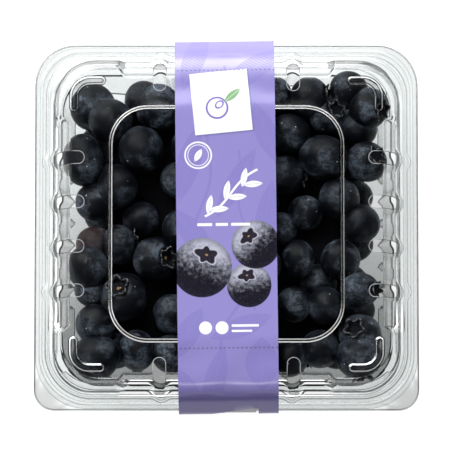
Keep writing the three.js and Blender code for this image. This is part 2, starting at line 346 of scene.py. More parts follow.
# %% [markdown]
# ## Finish of the clear sheet
#
# Formed plastic is clear glass to the eye: it bends light at every bend and mirrors the
# room. Real refraction through two skins shows this best. Lamps would cast a solid shadow
# through it, as their light can't be traced back through a bend, so for shadow rays the
# sheet is plain clear. A faint bump stands for the ripple that forming leaves.
#
# Two numbers on each point help where a bend is finer than the mesh. `line` is painted
# shade: it darkens the sheet along tight bends, at the front tabs and low in the tray, more
# towards the front. Walls seen edge on are darker too, partly from the longer path through
# the plastic and partly as painted shade. `glint` turns a flank into a polished white mirror,
# as a bend's outer skin is.

# %% Clear formed plastic
clear_plastic, tree, place = new_finish("clear_formed_plastic")
ripple = place.noise(70.0, 1.0).bump(0.1, 0.0006)
line, glint = stored(tree, "line", "glint")
steep = add_node(tree, "ShaderNodeLayerWeight", {"Blend": 0.5, "Normal": ripple},
                 out="Facing").ramp(0.55, 0.92, 0.0, 0.6)
steep = steep.math("MAXIMUM", steep, line)


def sheet_shader(kind, thin, thick, **sockets):
    """The sheet seen square on and seen along its walls, where it is darker: partly from the longer
    path through the plastic, partly painted shade.
    """
    square_on, along = [
        add_node(tree, kind, {"Color": (tone * 0.99, tone, tone, 1), **sockets})
        for tone in (thin, thick)
    ]
    return steep.add("ShaderNodeMixShader", {0: steep, 1: square_on, 2: along})


glass = sheet_shader("ShaderNodeBsdfGlass", 0.935, 0.22, Roughness=0.0, IOR=1.48, Normal=ripple)
clear = sheet_shader("ShaderNodeBsdfTransparent", 0.95, 0.5)
polished = add_node(tree, "ShaderNodeBsdfGlossy", {"Color": (1, 1, 1, 1), "Roughness": 0.08})
glass = add_node(tree, "ShaderNodeMixShader", {0: glint, 1: glass, 2: polished})
shadow = add_node(tree, "ShaderNodeLightPath", out="Is Shadow Ray")
show(tree, add_node(tree, "ShaderNodeMixShader", {0: shadow, 1: glass, 2: clear}))

# %% Cut edge of the sheet
cut_edge, tree, place = new_finish("cut_edge_of_the_sheet")
# Painted light: dark as painted shade where the clear rim lies behind it, pale as a painted
# highlight over the fruit.
x, y = [place.add("ShaderNodeSeparateXYZ", {0: place}, out=axis) for axis in "XY"]
outer = x.math("MAXIMUM", x.math("ABSOLUTE", x), y.math("ABSOLUTE", y))
outer = outer.ramp(44.5 * MM, 47 * MM)
edge_colour = mix_colour(place.noise(1500.0), (0.30, 0.31, 0.32), (0.42, 0.43, 0.44))
paint(tree, mix_colour(outer, edge_colour, (0.02, 0.02, 0.02)), 0.2)

# %% [markdown]
# ## The formed sheet
#
# Tray and lid are the same kind of thing: a flat sheet drawn over a mould. Its shape is a
# row of stations from the flange inwards, each a rounded outline at its own height. The
# first outline is a plane with its corners rounded by a vertex bevel. Each later one is
# the open edge extruded and carried to the next outline, and the hole left in the middle
# is filled. The bends are rounded by adding stations, so they catch the light as real
# formed bends do. Solidify gives the sheet its thickness last.

# %% Sizes of the pack
PACK_WIDTH, PACK_DEPTH = 115, 110
RIM_TOP = 25
RIM_GAP = 0.3
SHEET = 0.5
WALL = 0.26
LID_EDGE, LID_TOP = 34.2, 34.7
CORNER, TAB_CORNER = 12, 6
INDENT = {"depth": 2.5, "from": 30.4, "to": 32.2}
LEDGE_DROP = 4.2
LEDGE_SHIFT = {"back": 0.4, "front": -1.2}
FLUTE = {"depth": 0.95, "pitch": 6.65}
FOOT_HEIGHT = 1.4
VENT = {"width": 3.9, "length": 9.0, "pitch": 13.3, "inset": 6.1}
CORNER_STEPS = 14
VENT_ROWS = [k * VENT["pitch"] for k in (-1.5, -0.5, 0.5, 1.5)]
FLUTE_ROWS = [k * FLUTE["pitch"] for k in range(-3, 4)]
# Bumps in the rim: where they are along a side, half the width of crest and of foot.
HALO_BUMP = (VENT_ROWS, 0.6, 3.4)
SNAP_BUMP = ([-19.5, 19.5], 0.4, 2.9)

# %% Helpers for stations
def station(inset, z, back, front=None, wide=0.0, **press):
    """One outline: inset from the flange, height, corner radii, what is pressed in, and its painted
    shade and polish.
    """
    shape = ("indent", "flute", "lift", "drop", "halo", "snap")
    tone = ("line", "haze", "tab", "glint", "bar")
    plain = {**dict.fromkeys(shape + tone, 0.0), "broad": 2.0}
    outline = {"inset": inset, "z": z, "back": back, "front": front or back, "wide": wide}
    return {**outline, **plain, **press}


def between(a, b, t):
    return {key: a[key] + (b[key] - a[key]) * t for key in a}


def round_bends(stations, radius, steps=2):
    """Replaces each bend with a small arc of stations, and keeps the painted dark lines to their
    bends.
    """
    out = [stations[0]]
    for before, here, after in zip(stations, stations[1:], stations[2:]):
        to_before = math.hypot(here["inset"] - before["inset"], here["z"] - before["z"])
        to_after = math.hypot(after["inset"] - here["inset"], after["z"] - here["z"])
        reach = min(radius, 0.45 * to_before, 0.45 * to_after)
        first = between(here, before, reach / to_before)
        last = between(here, after, reach / to_after)
        for k in range(steps + 1):
            t = k / steps
            bend = between(between(first, here, t), between(here, last, t), t)
            beside = before if t < 0.5 else after
            same = beside["line"] == here["line"]
            bend["line"] = here["line"] * (1 if same else 1 - abs(2 * t - 1))
            bend["glint"], bend["bar"] = here["glint"], here["bar"]
            out.append(bend)
    return out + [stations[-1]]


def smooth(t):
    t = min(max(t, 0.0), 1.0)
    return t * t * (3 - 2 * t)


def side_share(along):
    """1 along the middle of a side, 0 near the corners."""
    return smooth((INDENT["to"] - abs(along)) / (INDENT["to"] - INDENT["from"]))


def scallop(along, half):
    """1 on the crest of the nearest flute, falling in a round arc to 0 at its edges."""
    near = min(abs(along - centre) for centre in FLUTE_ROWS)
    return max(0.0, 1 - (near / half) ** 2)


def bump_share(along, centres, half, foot):
    """1 on a bump's crest, 0 beyond its foot."""
    near = min(abs(along - centre) for centre in centres)
    return smooth((foot - near) / (foot - half))


def half_sizes(s):
    """Half the width and half the depth of a station's outline."""
    return PACK_WIDTH / 2 - s["inset"] - s["wide"], PACK_DEPTH / 2 - s["inset"]


def pressed(flat, s):
    """A point of the plain outline after indent, flutes, vent halos and feet."""
    x, y = flat.x, flat.y
    half_x, half_y = half_sizes(s)
    on_x_side = half_x - abs(x) < half_y - abs(y)
    along = y if on_x_side else x
    side = side_share(along)
    shift = -s["indent"] * INDENT["depth"] * side
    shift += s["flute"] * FLUTE["depth"] * scallop(along, s["broad"])
    shift += s["halo"] * bump_share(along, *HALO_BUMP)
    shift += s["snap"] * bump_share(along, *SNAP_BUMP)
    if not on_x_side:
        shift += s["drop"] * (LEDGE_SHIFT["back"] if y > 0 else LEDGE_SHIFT["front"])
    height = s["z"] + (s["lift"] * FOOT_HEIGHT - s["drop"] * LEDGE_DROP) * side
    if on_x_side:
        return Vector((x + math.copysign(1, x) * shift, y, height))
    return Vector((x, y + math.copysign(1, y) * shift, height))


def tones_of(flat, s):
    """How dark and how polished the sheet is at a point: painted shade along bends, at the front
    tabs and low in the tray, stronger towards the front; flanks polished.
    """
    # Painted shade: bends, the front corner tabs and the lower tray are darkened, more towards the
    # front, away from the light.
    back, front = smooth((flat.y - 22) / 10), smooth((-flat.y - 22) / 10)
    tab = s["tab"] * smooth((abs(flat.x) + abs(flat.y) - 101) / 3) * front
    front_shade = s["haze"] * (0.15 + 1.35 * smooth((25 - flat.y) / 60))
    dark = max(s["line"] * (1 + 0.8 * front), front_shade, tab)
    side = side_share(min(abs(flat.x), abs(flat.y)))
    if s["drop"] or s["bar"]:
        return dark, side * (s["glint"] * (0.16 + 0.8 * front) + s["bar"] * 0.95 * front)
    lit = 0.14 if (s["inset"] > 20) == (flat.x < 0) else 0.0
    return dark, s["glint"] * (0.15 * back + 0.75 * front + lit * (1 - back - front))


def carried(p, a, b):
    """Carries a point of outline a to the same place on outline b."""
    result = []
    radius_a, radius_b = [s["back"] if p.y > 0 else s["front"] for s in (a, b)]
    for value, half_a, half_b in zip(p[:2], half_sizes(a), half_sizes(b)):
        straight_a, straight_b = half_a - radius_a, half_b - radius_b
        size = abs(value)
        if size <= straight_a:
            moved = size * straight_b / straight_a
        else:
            moved = straight_b + (size - straight_a) * radius_b / radius_a
        result.append(math.copysign(moved, value))
    return Vector((*result, b["z"]))


# %% Helper that forms a sheet
def lay_down(piece, here, last=None):
    """Puts the selected points on a station's outline, carried there from the last one."""
    mesh = bmesh.from_edit_mesh(piece.data)
    flat = mesh.verts.layers.float_vector["flat"]
    tones = [mesh.verts.layers.float[tone] for tone in ("line", "glint")]
    for v in mesh.verts:
        if v.select:
            v[flat] = carried(v[flat], last, here) if last else v.co / MM
            v.co = pressed(v[flat], here) * MM
            v[tones[0]], v[tones[1]] = tones_of(v[flat], here)
    bmesh.update_edit_mesh(piece.data)


def form_sheet(name, stations, side_cuts):
    """Draws a sheet over the stations and returns it, still without thickness."""
    first = stations[0]
    width, depth = [2 * half * MM for half in half_sizes(first)]
    piece = start(name, bpy.ops.mesh.primitive_plane_add, size=1)
    edit(piece)
    bpy.ops.transform.resize(value=(width, depth, 1))
    for sign, radius in ((1, first["back"]), (-1, first["front"])):
        pick(piece, "verts", lambda v: v.co.y * sign > depth * 0.499)
        bpy.ops.mesh.bevel(offset=radius * MM, segments=CORNER_STEPS, affect="VERTICES")
    bpy.ops.mesh.select_all(action="SELECT")
    bpy.ops.mesh.delete(type="ONLY_FACE")
    pick(piece, "edges", lambda e: e.calc_length() > 20 * MM)
    bpy.ops.mesh.subdivide(number_cuts=side_cuts)
    bpy.ops.mesh.select_all(action="SELECT")
    mesh = bmesh.from_edit_mesh(piece.data)
    mesh.verts.layers.float_vector.new("flat")
    for tone in ("line", "glint"):
        mesh.verts.layers.float.new(tone)
    lay_down(piece, first)
    for last, here in zip(stations, stations[1:]):
        bpy.ops.mesh.extrude_edges_move()
        lay_down(piece, here, last)
    bpy.ops.mesh.edge_face_add()
    bpy.ops.mesh.select_all(action="SELECT")
    bpy.ops.mesh.normals_make_consistent(inside=False)
    leave()
    middle = max(piece.data.polygons, key=lambda face: face.area)
    if middle.normal.z < 0:
        piece.data.flip_normals()
    print(name, "stations:", len(stations), "points:", len(piece.data.vertices))
    return piece


# %% [markdown]
# ## Tray and lid
#
# The tray's walls drop to a narrow shelf and then lean in with seven flutes a side, which
# grow broader downwards, and its floor stands on four feet. Its front corners are left
# nearly square, as tabs to open the pack by. The lid's rim steps up to a ledge that drops
# along each side. Its wall bulges at the corners and is pressed in along the sides, and a
# ridge with two polished flanks runs round the raised panel in the middle of its top.

# %% Form the tray and the lid
# The line, tab and lower-wall values below are painted shade: dark bends, grey front tabs, and a
# grey lower wall and floor.
upper_flutes = {"flute": 1.0, "broad": 2.0}
lower_flutes = {"flute": 2.0, "broad": 3.1, "haze": 0.3}
tray_stations = [
    station(0, RIM_TOP - 0.9, CORNER, TAB_CORNER, line=0.35, tab=0.35),
    station(0.3, RIM_TOP, CORNER, TAB_CORNER, line=0.1, tab=0.25),
    station(0.7, RIM_TOP, CORNER, TAB_CORNER, tab=0.25),
    station(3.2, RIM_TOP, 11.5, 8.5, tab=0.25),
    station(5.4, RIM_TOP, 11, tab=0.2),
    station(5.9, RIM_TOP - 1, 11),
    station(6.2, 17.2, 11),
    station(6.45, 16.8, 11),
    station(7.75, 16.7, 11, **upper_flutes),
    station(7.82, 16.65, 11, **upper_flutes, line=0.95),
    station(8.08, 16.3, 11, **upper_flutes, line=0.95, haze=0.3),
    station(8.15, 16.0, 11, **upper_flutes, haze=0.3),
    station(10.9, 4.2, 11, flute=1.9, broad=3.1, haze=0.3),
    station(11.0, 3.9, 11, **lower_flutes, line=0.9),
    station(11.15, 3.5, 11, **lower_flutes, line=0.9),
    station(11.25, 3.2, 11, **lower_flutes),
    station(12.6, SHEET, 11, **lower_flutes, lift=1),
    station(16.5, SHEET, 9, lift=1, haze=0.3),
    station(18, SHEET + FOOT_HEIGHT, 8),
]
lid_rim = RIM_TOP + RIM_GAP + SHEET
# The line values below paint dark lines as shade along the lid's bends.
lid_stations = [
    station(0.4, lid_rim, CORNER, 15, line=0.3),
    station(0.7, lid_rim, 12, 15),
    station(1.5, lid_rim, 12, 15, line=0.2),
    station(1.9, lid_rim + 0.3, 12, 15),
    station(2.3, lid_rim, 12, 14.5, line=0.2),
    station(3.4, lid_rim, 12, 14, snap=1.3, line=0.35),
    station(3.9, lid_rim + 0.7, 12, 13.5, snap=1.1, line=0.15),
    station(4.5, lid_rim + 0.75, 12, 13.2, bar=1, line=0.2),
    station(5.6, lid_rim + 1.64, 12, 13, halo=0.9, bar=1),
    station(5.95, lid_rim + 2.0, 12.4, halo=1.0, line=0.3),
    station(6.2, LID_EDGE - 1.45, 12.2, drop=1, halo=1.0, line=0.8),
    station(6.35, LID_EDGE - 1.3, 12.2, drop=1, halo=1.0, glint=1),
    station(7.2, LID_EDGE - 0.62, 12.1, drop=1, halo=0.3, glint=1),
    station(7.9, LID_EDGE - 0.4, 12, drop=1),
    station(8.5, LID_EDGE + 0.02, 12, indent=0.85, line=0.3),
]
shoulder_stations = [
    station(inset, LID_EDGE + 0.05 * (inset - 8), 12, indent=indent)
    for inset, indent in ((9.5, 0.58), (10.4, 0.36), (11.3, 0.2), (12.3, 0.08), (13.3, 0))
]
# Inset from the flange, rise above the lid, then how dark (painted shade) and how polished it is
# there.
panel_rings = [(19.42, 0, 0, 0), (19.5, 0, 0.9, 0), (19.55, 0.04, 0.9, 0), (19.6, 0.08, 0, 1),
               (19.9, 0.32, 0, 1), (19.95, 0.36, 0.95, 0), (20.15, 0.37, 0.95, 0),
               (20.2, 0.41, 0, 1), (20.65, 0.77, 0, 1), (20.7, 0.81, 0.9, 0),
               (20.9, 0.82, 0.9, 0), (21.0, 0.82, 0, 0), (24, 0.82, 0, 0)]
panel_stations = [
    station(inset, LID_TOP + rise, 31.1 - inset, wide=2.9, line=line, glint=glint)
    for inset, rise, line, glint in panel_rings
]
tray = form_sheet("tray_sheet", round_bends(tray_stations, 0.9), 140)
rounded_rim = round_bends(lid_stations + shoulder_stations[:1], 0.7)
lid = form_sheet("lid_sheet", rounded_rim + shoulder_stations[1:] + panel_stations, 88)

for piece in (tray, lid):
    modify(piece, "SOLIDIFY", thickness=WALL * MM, offset=0)

# %% [markdown]
# ## Vents
#
# Each side of the lid has four slots that let the fruit breathe. A slot is cut by a
# stretched cylinder: half its points are picked and moved, which makes a pill-shaped
# cutter, and one Boolean takes all sixteen out.

# %% Cut the vents
def vent_cutter(side, row):
    radius = VENT["width"] / 2 * MM
    half = (VENT["length"] - VENT["width"]) / 2 * MM
    cutter = start("vent_cutter", bpy.ops.mesh.primitive_cylinder_add,
                   vertices=28, radius=radius, depth=14 * MM)
    edit(cutter)
    for sign in (1, -1):
        pick(cutter, "verts", lambda v: v.co.x * sign > 1e-6)
        bpy.ops.transform.translate(value=(sign * half, 0, 0))
    leave()
    cutter.data.materials.append(cut_edge)
    reach = (PACK_WIDTH if side % 2 == 0 else PACK_DEPTH) / 2 - VENT["inset"] - VENT["length"] / 2
    centre = Matrix.Rotation(side * math.pi / 2, 4, "Z") @ Vector((reach * MM, row * MM, 0))
    cutter.location = centre + Vector((0, 0, 34.5 * MM))
    cutter.rotation_euler.z = side * math.pi / 2
    settle(cutter)
    return cutter


cutters = [vent_cutter(side, row) for side in range(4) for row in VENT_ROWS]
only(*cutters)
bpy.ops.object.join()
lid.data.materials.append(clear_plastic)
modify(lid, "BOOLEAN", object=cutters[0], operation="DIFFERENCE", solver="EXACT",
       material_mode="TRANSFER")
bpy.data.objects.remove(cutters[0])
print("lid after the vents:", triangles(lid), "triangles")

# %% Round the cut edges
def is_slot_edge(edge):
    """True where a slot's cut face meets the outer skin."""
    if len(edge.link_faces) != 2:
        return False
    skin, cut = sorted(edge.link_faces, key=lambda face: face.material_index)
    return skin.material_index == 0 and cut.material_index == 1 and skin.normal.z > 0.05


edit(lid)
pick(lid, "edges", is_slot_edge)
bpy.ops.mesh.duplicate()
bpy.ops.mesh.separate(type="SELECTED")
leave()
slot_lips = next(piece for piece in bpy.context.selected_objects if piece != lid)
slot_lips.name = "slot_lips"
only(slot_lips)
bpy.ops.object.convert(target="CURVE")
slot_lips.data.bevel_depth = 0.1 * MM
slot_lips.data.bevel_resolution = 1
bpy.ops.object.convert(target="MESH")
slot_lips.data.materials.clear()
slot_lips.data.materials.append(cut_edge)
print("lips:", triangles(slot_lips), "triangles")

# %% [markdown]
# ## Corner ribs
#
# An L-shaped rib stiffens each corner of the lid. It is pressed into the sheet, so it is
# pressed here too: the faces near its line are subdivided, and their points are lifted by
# how near they lie. Both skins are lifted alike, so the sheet keeps its thickness. A flat top
# and straight flanks keep the two highlights crisp.

# %% Press the ribs
RIB = {"half": 1.25, "flat": 0.75, "rise": 0.4, "radius": 4.8, "leg": 3.2, "inset": 12}
RIB_POLISH = {"front": 0.28, "back": 0.12}
# Distance outwards from the rib's middle, then how dark (painted shade) and how polished it is
# there.
RIB_TONES = [(-1.5, 0, 0), (-1.38, 0.9, 0), (-1.28, 0.9, 0), (-1.22, 0, 1), (-0.8, 0, 1),
             (-0.74, 0.9, 0), (-0.6, 0.9, 0), (-0.45, 0.15, 0), (0.45, 0.15, 0), (0.6, 0.9, 0),
             (0.74, 0.9, 0), (0.8, 0, 1), (1.22, 0, 1), (1.28, 0.9, 0), (1.42, 0.9, 0), (1.6, 0, 0)]


def from_rib(x, y):
    """How far a point lies outwards from the middle of its corner's rib, in mm."""
    radius, leg = RIB["radius"], RIB["leg"]
    u = abs(x) / MM - (PACK_WIDTH / 2 - RIB["inset"] - radius)
    v = abs(y) / MM - (PACK_DEPTH / 2 - RIB["inset"] - radius)
    if u > 0 and v > 0:
        return math.hypot(u, v) - radius
    u, v = max(u, v), min(u, v)
    return math.copysign(math.hypot(u - radius, max(-leg - v, 0)), u - radius)


def tones_at(outwards):
    """Looks up the painted dark share and the polished share between the rows of the table."""
    for (x0, *a), (x1, *b) in zip(RIB_TONES, RIB_TONES[1:]):
        if x0 <= outwards < x1:
            t = (outwards - x0) / (x1 - x0)
            return [p + (q - p) * t for p, q in zip(a, b)]
    return [0, 0]


edit(lid)
pick(lid, "faces", lambda f: abs(from_rib(*f.calc_center_median()[:2])) < 2.1)
bpy.ops.mesh.subdivide(number_cuts=8)
mesh = bmesh.from_edit_mesh(lid.data)
tones = [mesh.verts.layers.float[name] for name in ("line", "glint")]
for v in mesh.verts:
    outwards = from_rib(v.co.x, v.co.y)
    if abs(outwards) < 1.6 and v.co.z > 33 * MM:
        share = (RIB["half"] - abs(outwards)) / (RIB["half"] - RIB["flat"])
        v.co.z += RIB["rise"] * MM * min(max(share, 0), 1)
        dark, polish = tones_at(outwards)
        polish *= RIB_POLISH["front" if v.co.y < 0 else "back"]
        v[tones[0]], v[tones[1]] = dark, polish
leave()
print("lid with its ribs:", triangles(lid), "triangles")

# %% Give the tray and the lid their finish
for piece, finish in ((tray, clear_plastic), (slot_lips, cut_edge)):
    piece.data.materials.clear()
    piece.data.materials.append(finish)
only(lid, slot_lips)
bpy.ops.object.join()
for piece in (tray, lid):
    only(piece)
    bpy.ops.object.shade_smooth_by_angle(angle=math.radians(50))
    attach(piece, "root")
    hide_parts("clamshell")
    print(piece.name, triangles(piece), "triangles")

# %% [markdown]
# ## Finish of the fruit
#
# A ripe blueberry is almost black under a pale waxy bloom. The bloom lies in soft patches
# and is rubbed off where berries touch or were handled, so the finish is two skins mixed
# by masks: large soft patches, fine specks, and a few short scuffs. Each berry carries its
# own share of bloom as an attribute, lowered on the pack's right side as painted shade, and a
# few are browner.

# %% Berry skin
berry_skin, tree, place = new_finish("berry_skin_with_bloom")
bloom_and_shade_share, brown_share, scar_share, pit = stored(tree, "bloom", "brown", "scar", "pit")
patches = place.noise(140.0, 4.0, 0.6)
cloud = place.noise(800.0, 5.0, 0.7)
grain = place.noise(3600.0)
streak = place.add("ShaderNodeMapping", {"Vector": place, "Scale": (0.25, 1.0, 0.6)}).noise(900.0)
bloom = patches.ramp(0.44, 0.64, 0.0, 1.05) * cloud.ramp(0.35, 0.66, 0.2, 1.6)
bloom = bloom * streak.ramp(0.34, 0.40, 0.3, 1.0) * grain.ramp(0.3, 0.7, 0.6, 1.3)
bloom = bloom * bloom_and_shade_share * (1 - pit)
blue = mix_colour(bloom, (0.001, 0.0013, 0.003), (0.085, 0.102, 0.130))
brownish = mix_colour(brown_share * cloud, blue, (0.09, 0.045, 0.035))
specks, speck_colour = [
    place.add("ShaderNodeTexVoronoi", {"Vector": place, "Scale": 480.0}, out=out)
    for out in ("Distance", "Color")
]
kept = speck_colour.add("ShaderNodeSeparateColor", {0: speck_colour})
dust = specks.ramp(0.05, 0.11, 1.0, 0.0) * kept.ramp(0.74, 0.78)
skin_colour = mix_colour(dust, brownish, (0.55, 0.56, 0.58))
skin_colour = mix_colour(scar_share * pit.ramp(0.9, 0.98), skin_colour, (0.34, 0.17, 0.07))
skin_roughness = bloom.ramp(0.05, 0.7, 0.45, 0.62) + pit.ramp(0.6, 0.7, 0.0, 0.4)
paint(tree, skin_colour, skin_roughness, {"Specular IOR Level": 0.16,
                                          "Normal": cloud.bump(0.35, 0.0003)})

# %% Dry crown
dry_crown, tree, place = new_finish("dry_crown")
[rim] = stored(tree, "rim")
pale = rim.ramp(0.75, 1.0) * place.noise(1400.0, 3.0).ramp(0.4, 0.6)
crown_colour = mix_colour(pale, (0.002, 0.002, 0.003), (0.15, 0.155, 0.165))
paint(tree, crown_colour, 0.8, {"Specular IOR Level": 0.15})

# %% Shade deep in the heap
deep_shade, tree, place = new_finish("deep_in_the_heap")
shade = mix_colour(place.noise(150.0), (0.001, 0.001, 0.002), (0.004, 0.004, 0.007))
paint(tree, shade, 0.9, {"Specular IOR Level": 0.1})

# %% [markdown]
# ## One berry, then a punnetful
#
# A berry is a flattened ball with a pit at its flower end, ringed by the dry remains of
# five sepals. It is modelled once: a ball, squeezed, with its top faces inset and pushed
# down. The crown is a short tube whose rim is drawn out into five points. Copies are
# resized, turned so that the crown looks where it should, and joined into one piece.

# %% Model the berry and its crown
def mark_points(piece, name, share_of):
    """Stores a number for each point, worked out from its place."""
    layer = piece.data.attributes.new(name, "FLOAT", "POINT")
    layer.data.foreach_set("value", [share_of(v.co) for v in piece.data.vertices])


def depth_in_pit(p):
    """1 in the middle of the flower end's pit, less towards its edge, 0 outside."""
    away = math.hypot(p.x, p.y)
    return 1 - away if p.z > 0 and away < 0.34 else 0


def model_berry():
    piece = start("berry", bpy.ops.mesh.primitive_uv_sphere_add, segments=32, ring_count=20)
    edit(piece)
    bpy.ops.transform.resize(value=(1, 1, 0.93))
    pick(piece, "faces", lambda f: f.calc_center_median().z > 0.84)
    bpy.ops.mesh.inset(thickness=0.03)
    bpy.ops.transform.translate(value=(0, 0, -0.16))
    bpy.ops.transform.resize(value=(0.9, 0.9, 0.5))
    pick(piece, "faces", lambda f: f.calc_center_median().z < -0.9)
    bpy.ops.transform.translate(value=(0, 0, 0.05))
    leave()
    mark_points(piece, "pit", depth_in_pit)
    only(piece)
    bpy.ops.object.shade_smooth()
    return piece


def model_crown():
    middle = 0.88
    piece = start("crown", bpy.ops.mesh.primitive_cylinder_add, vertices=30, radius=0.3,
                  depth=0.17, end_fill_type="NOTHING", location=(0, 0, middle))
    settle(piece)
    mark_points(piece, "rim", lambda p: 1 if p.z > middle else 0)
    edit(piece)
    pick(piece, "verts", lambda v: v.co.z > middle)
    bpy.ops.transform.resize(value=(1.4, 1.4, 1))
    mesh = bmesh.from_edit_mesh(piece.data)
    for v in mesh.verts:
        if v.select:
            point = math.cos(5 * math.atan2(v.co.y, v.co.x))
            v.co += Vector((v.co.x, v.co.y, 0)) * 0.24 * point + Vector((0, 0, 0.06 * point))
    leave()
    modify(piece, "SOLIDIFY", thickness=0.05, offset=0)
    only(piece)
    bpy.ops.object.shade_smooth()
    return piece


berry_model, crown_model = model_berry(), model_crown()
print("one berry:", triangles(berry_model), "and its crown:", triangles(crown_model))

# %% [markdown]
# ## Where the berries lie
#
# The top layer is set out berry by berry, as someone filling a tray would see it: how far
# across, how far back, how large and how deep. The berries under the band and the lower
# layers are thrown in one by one by a repeatable draw and kept if they clear the rest.
# The same rules as in the frame's heap are used, so each berry lies on its own lump there.

# %% The top layer
TOP_BERRIES = [
    (-40.3, 36.5, 7, 4), (-34.9, 32, 6.7, 0), (-25.1, 38.2, 6.3, 3.5), (-20.5, 35.9, 7.2, 0.5),
    (-25.6, 22.9, 6.9, 0), (-43.2, 20.1, 6.4, 1), (-33, 11.9, 6.7, 0.5), (-39.5, 7.6, 6, 3.5),
    (-25.7, 2.3, 5.7, 6), (-14.5, 14, 5.5, 2.5), (-40.1, -5, 5.2, 4.5), (-32.2, -5.5, 5.8, 1),
    (-21.4, -9.9, 6.6, 1), (-41.7, -12.5, 6.4, 0.5), (-30.8, -21.2, 7.2, 0),
    (-16.3, -26.4, 6, 1.5), (-40.4, -19.2, 5.1, 4.5), (-39.4, -29.3, 6.1, 2),
    (-39.1, -39.4, 6.8, 0), (-26.8, -37.2, 6, 1.5), (-16.6, -38.2, 5.7, 2.5),
    (14, 39.9, 5.7, 3), (25, 38.9, 6.1, 0), (36.8, 41.5, 5.7, 3), (42.8, 35.6, 6, 0),
    (30.4, 33.6, 5.8, 1.5), (18.7, 27.8, 6.1, 1.5), (39.5, 29.9, 5.7, 4), (29.2, 20.6, 6.7, 0),
    (42.2, 19.5, 6, 0.5), (17.5, 15.6, 6, 2.5), (33.9, 8.4, 6.3, 0.5), (23.6, 4.3, 5.1, 5),
    (40.3, 0.9, 5.8, 1.5), (16.1, -0.5, 5.1, 6), (21.4, -9.8, 5.3, 2.5), (34.3, -9.9, 6.1, 2),
    (40, -19.1, 5.4, 1), (20.2, -23.5, 5.4, 2.5), (29.7, -23.9, 5.5, 2),
    (40.1, -32.5, 6.1, 2.5), (40.3, -40.4, 7, 0), (27.9, -36.8, 5.7, 1.5),
    (18.9, -39.8, 5.4, 3),
]
# Crowns that can be seen: the berry's number, and where its crown looks.
CROWNS = {
    12: (0.64, -0.0, 0.77), 14: (-0.26, 0.39, 0.88), 22: (0.95, 0.11, 0.3),
    24: (0.7, -0.15, 0.7), 25: (0.47, 0.26, 0.84), 29: (0.49, 0.24, 0.84),
    37: (0.86, -0.0, 0.52), 40: (-0.33, 0.29, 0.9),
}
BROWN = {10: 0.35}
SCARS = {12, 14}
# Berries drawn out across or along the pack.
DRAWN_OUT = {5: (0.9, 1.2), 28: (1.12, 1.0), 35: (0.93, 1.1), 37: (1.05, 0.95)}

# %% Rules for the rest
BERRY_GAP = 0.35
UNDER_BAND = {"half_x": 15.5, "half_y": 42, "tries": 900}
LOWER_LAYERS = [{"z": 17.5, "inset": 18.5}, {"z": 8.9, "inset": 20.5}]
WALL_INSETS = [(0, 13), (1.9, 12.4), (4, 10.9), (24, 6.4), (27.4, 7.3), (32.9, 10), (34.2, 11.4)]


def make_draw(state):
    def draw():
        nonlocal state
        state = (state * 1664525 + 1013904223) % 4294967296
        return state / 4294967296
    return draw


def wall_inset(z):
    i = next((k for k, (height, _) in enumerate(WALL_INSETS) if height > z), 1)
    (z0, low), (z1, high) = WALL_INSETS[max(i, 1) - 1], WALL_INSETS[max(i, 1)]
    return low + (high - low) * (z - z0) / (z1 - z0)


def wall_bite(x, y, z, r):
    """How far a berry stands into the wall, and which way is outwards."""
    worst = (-math.inf, 0, 0)
    for step in range(-4, 5):
        dz = r * step / 4.2
        inset = wall_inset(z + dz)
        qx = max(abs(x) - (PACK_WIDTH / 2 - inset - CORNER), 0)
        qy = max(abs(y) - (PACK_DEPTH / 2 - inset - CORNER), 0)
        away = math.hypot(qx, qy)
        bite = away - CORNER + math.sqrt(r * r - dz * dz) + BERRY_GAP
        if bite > worst[0]:
            scale = 1 / away if away else 0
            worst = (bite, math.copysign(qx, x) * scale, math.copysign(qy, y) * scale)
    return worst


def seated(x, y, z, r):
    """Moves a berry inwards until it clears the walls."""
    for _ in range(12):
        bite, out_x, out_y = wall_bite(x, y, z, r)
        if bite <= 0:
            break
        x, y = x - out_x * bite, y - out_y * bite
    return (x, y, z, r)


def top_berry(x, y, r, sink):
    top = LID_EDGE - SHEET - BERRY_GAP + 0.25 + (1 if max(abs(x), abs(y)) < 31 else 0)
    return seated(x, y, top - r - sink, r)


def scatter(draw, tries, place_berry, kept):
    """Throws berries in one by one and keeps those that clear the rest."""
    added = []
    for _ in range(tries):
        r = 5.2 + 1.5 * draw()
        berry = seated(*place_berry(draw, r))
        near = any(math.dist(other[:3], berry[:3]) < 0.9 * (other[3] + berry[3])
                   for other in kept + added)
        if not near:
            added.append(berry)
    return added


# %% Lay out every berry
draw = make_draw(7)


def under_band(draw, r):
    x = UNDER_BAND["half_x"] * (2 * draw() - 1)
    y = UNDER_BAND["half_y"] * (2 * draw() - 1)
    return top_berry(x, y, r, 2 * draw())


def along_walls(z, inset):
    half_x, half_y = PACK_WIDTH / 2 - inset, PACK_DEPTH / 2 - inset

    def place_berry(draw, r):
        x, y = (2 * draw() - 1) * half_x, (2 * draw() - 1) * half_y
        if draw() < 0.5:
            return (math.copysign(half_x, x), y, z, r)
        return (x, math.copysign(half_y, y), z, r)
    return place_berry


def in_the_middle(draw, r):
    return (76 * draw() - 38, 72 * draw() - 36, 20 + 2 * draw(), r)


berries = [top_berry(*row) for row in TOP_BERRIES]
berries += scatter(draw, UNDER_BAND["tries"], under_band, berries)
for layer in LOWER_LAYERS:
    berries += scatter(draw, 1500, along_walls(layer["z"], layer["inset"]), berries)
berries += scatter(draw, 700, in_the_middle, berries)
print("berries:", len(berries))

# %% Place the copies
chance = random.Random(11)


